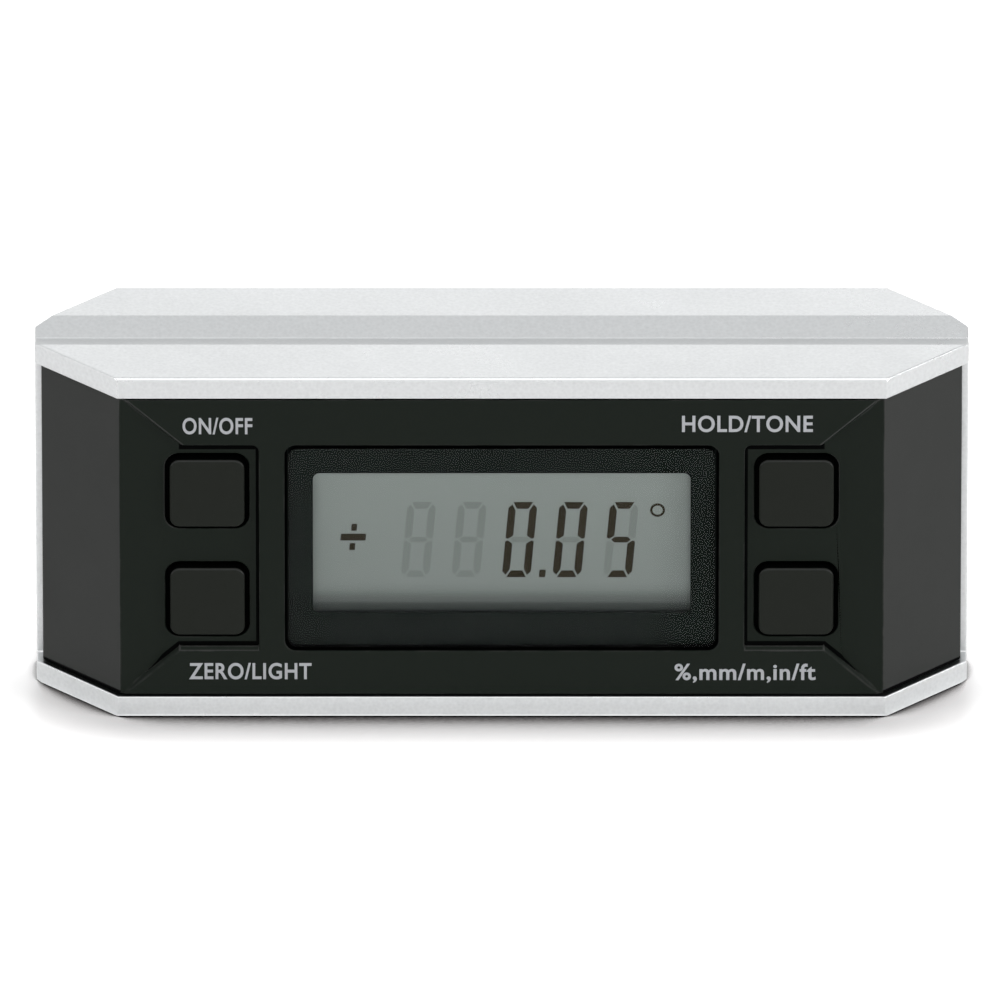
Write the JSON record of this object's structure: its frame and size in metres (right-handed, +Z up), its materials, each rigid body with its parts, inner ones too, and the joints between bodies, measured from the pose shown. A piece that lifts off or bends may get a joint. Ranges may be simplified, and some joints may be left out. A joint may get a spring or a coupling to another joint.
{
  "type": "digital inclinometer",
  "caption": "Digital inclinometer: V-grooved aluminium frame round a black housing with a display window, square push buttons, corner cuts and a sliding battery door at the back.",
  "frame": {"origin": "middle of the underside of the frame", "axes": "+X along the length, to the right as seen from the display; +Y from the display to the back; +Z up, out of the upper grooved face"},
  "size_m": [0.15, 0.033, 0.061],
  "materials": {
    "frame_aluminium": "satin anodised",
    "housing_plastic": "fine matte black",
    "button_plastic": "smooth satin black",
    "window_clear": "clear polished acrylic",
    "window_print": "glossy black print",
    "lcd_glass": "grey-green satin polariser",
    "diffuser_plastic": "milky",
    "holder_plastic": "matte white",
    "contact_rubber": "matte",
    "board_laminate": "green solder mask",
    "black_epoxy": "matte moulded",
    "led_plastic": "clear yellow",
    "tinned_can": "tinned",
    "nickel_contact": "nickel plated",
    "switch_plastic": "matte",
    "plunger_plastic": "matte red",
    "battery_jacket": "satin printed sleeve",
    "wire_red": "satin",
    "wire_black": "satin",
    "screw_steel": "black zinc"
  },
  "bodies": {
    "case": {"frame": "frame_aluminium", "front_housing": "housing_plastic", "rear_cover": "housing_plastic", "case_screw_left_lower": "screw_steel", "case_screw_left_upper": "screw_steel", "case_screw_right_lower": "screw_steel", "case_screw_right_upper": "screw_steel", "display_window": "window_clear", "window_mask": "window_print", "lcd_panel": "lcd_glass", "backlight_diffuser": "diffuser_plastic", "lcd_holder": "holder_plastic", "lcd_contact_strip": "contact_rubber", "backlight_led_1": "led_plastic", "backlight_led_2": "led_plastic", "backlight_led_3": "led_plastic", "main_board": "board_laminate", "board_screw_left_lower": "screw_steel", "board_screw_left_upper": "screw_steel", "board_screw_right_lower": "screw_steel", "board_screw_right_upper": "screw_steel", "microcontroller": "black_epoxy", "crystal": "tinned_can", "tilt_sensor": "tinned_can", "buzzer": "black_epoxy", "capacitor_1": "tinned_can", "capacitor_2": "tinned_can", "capacitor_3": "tinned_can", "capacitor_4": "tinned_can", "power_switch_body": "switch_plastic", "zero_switch_body": "switch_plastic", "hold_switch_body": "switch_plastic", "unit_switch_body": "switch_plastic", "battery_upper": "battery_jacket", "battery_lower": "battery_jacket", "battery_spring_upper": "nickel_contact", "battery_spring_lower": "nickel_contact", "battery_contact_positive": "nickel_contact", "battery_contact_negative": "nickel_contact", "battery_contact_bridge": "nickel_contact", "battery_wire_positive": "wire_red", "battery_wire_negative": "wire_black"},
    "door": {"battery_door": "housing_plastic"},
    "power_key": {"power_button": "button_plastic", "power_switch_plunger": "plunger_plastic"},
    "zero_key": {"zero_button": "button_plastic", "zero_switch_plunger": "plunger_plastic"},
    "hold_key": {"hold_button": "button_plastic", "hold_switch_plunger": "plunger_plastic"},
    "unit_key": {"unit_button": "button_plastic", "unit_switch_plunger": "plunger_plastic"}
  },
  "joints": [
    {"name": "battery_door_slide", "type": "slide", "parent": "case", "child": "door", "axis": [1, 0, 0], "range_m": [0, 0.056]},
    {"name": "power_press", "type": "slide", "parent": "case", "child": "power_key", "axis": [0, 1, 0], "range_m": [0, 0.0005], "stiffness_N_per_m": 1600, "springref_m": -0.0006},
    {"name": "zero_press", "type": "slide", "parent": "case", "child": "zero_key", "axis": [0, 1, 0], "range_m": [0, 0.0005], "stiffness_N_per_m": 1600, "springref_m": -0.0006},
    {"name": "hold_press", "type": "slide", "parent": "case", "child": "hold_key", "axis": [0, 1, 0], "range_m": [0, 0.0005], "stiffness_N_per_m": 1600, "springref_m": -0.0006},
    {"name": "unit_press", "type": "slide", "parent": "case", "child": "unit_key", "axis": [0, 1, 0], "range_m": [0, 0.0005], "stiffness_N_per_m": 1600, "springref_m": -0.0006}
  ]
}
